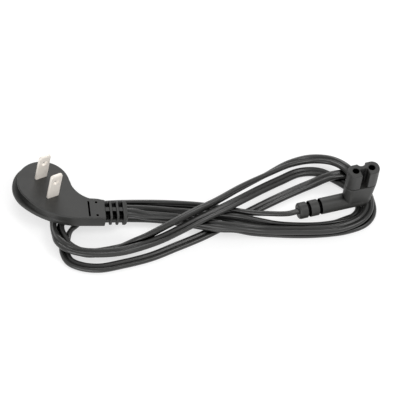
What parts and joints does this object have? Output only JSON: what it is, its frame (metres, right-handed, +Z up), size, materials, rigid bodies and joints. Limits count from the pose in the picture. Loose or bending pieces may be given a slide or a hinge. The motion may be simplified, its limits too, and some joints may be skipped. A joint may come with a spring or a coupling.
{
  "type": "angled power cord",
  "caption": "Flat twin power cord with a right-angle flat wall plug and a right-angle figure-8 appliance connector, laid in loose figure-of-eight turns.",
  "frame": {"origin": "on the floor, under the middle of the whole cord with its plug and connector", "axes": "+X from the plug towards the connector, +Y away from the viewer of the picture, +Z up"},
  "size_m": [0.1846, 0.0706, 0.0319],
  "materials": {
    "moulding": "satin",
    "jacket": "satin",
    "insert": "satin",
    "nickel": "nickel plated"
  },
  "bodies": {
    "root": {"plug_body": "moulding", "blade_far": "nickel", "blade_near": "nickel", "cord": "jacket", "connector_body": "moulding", "connector_nose": "insert"}
  },
  "joints": []
}
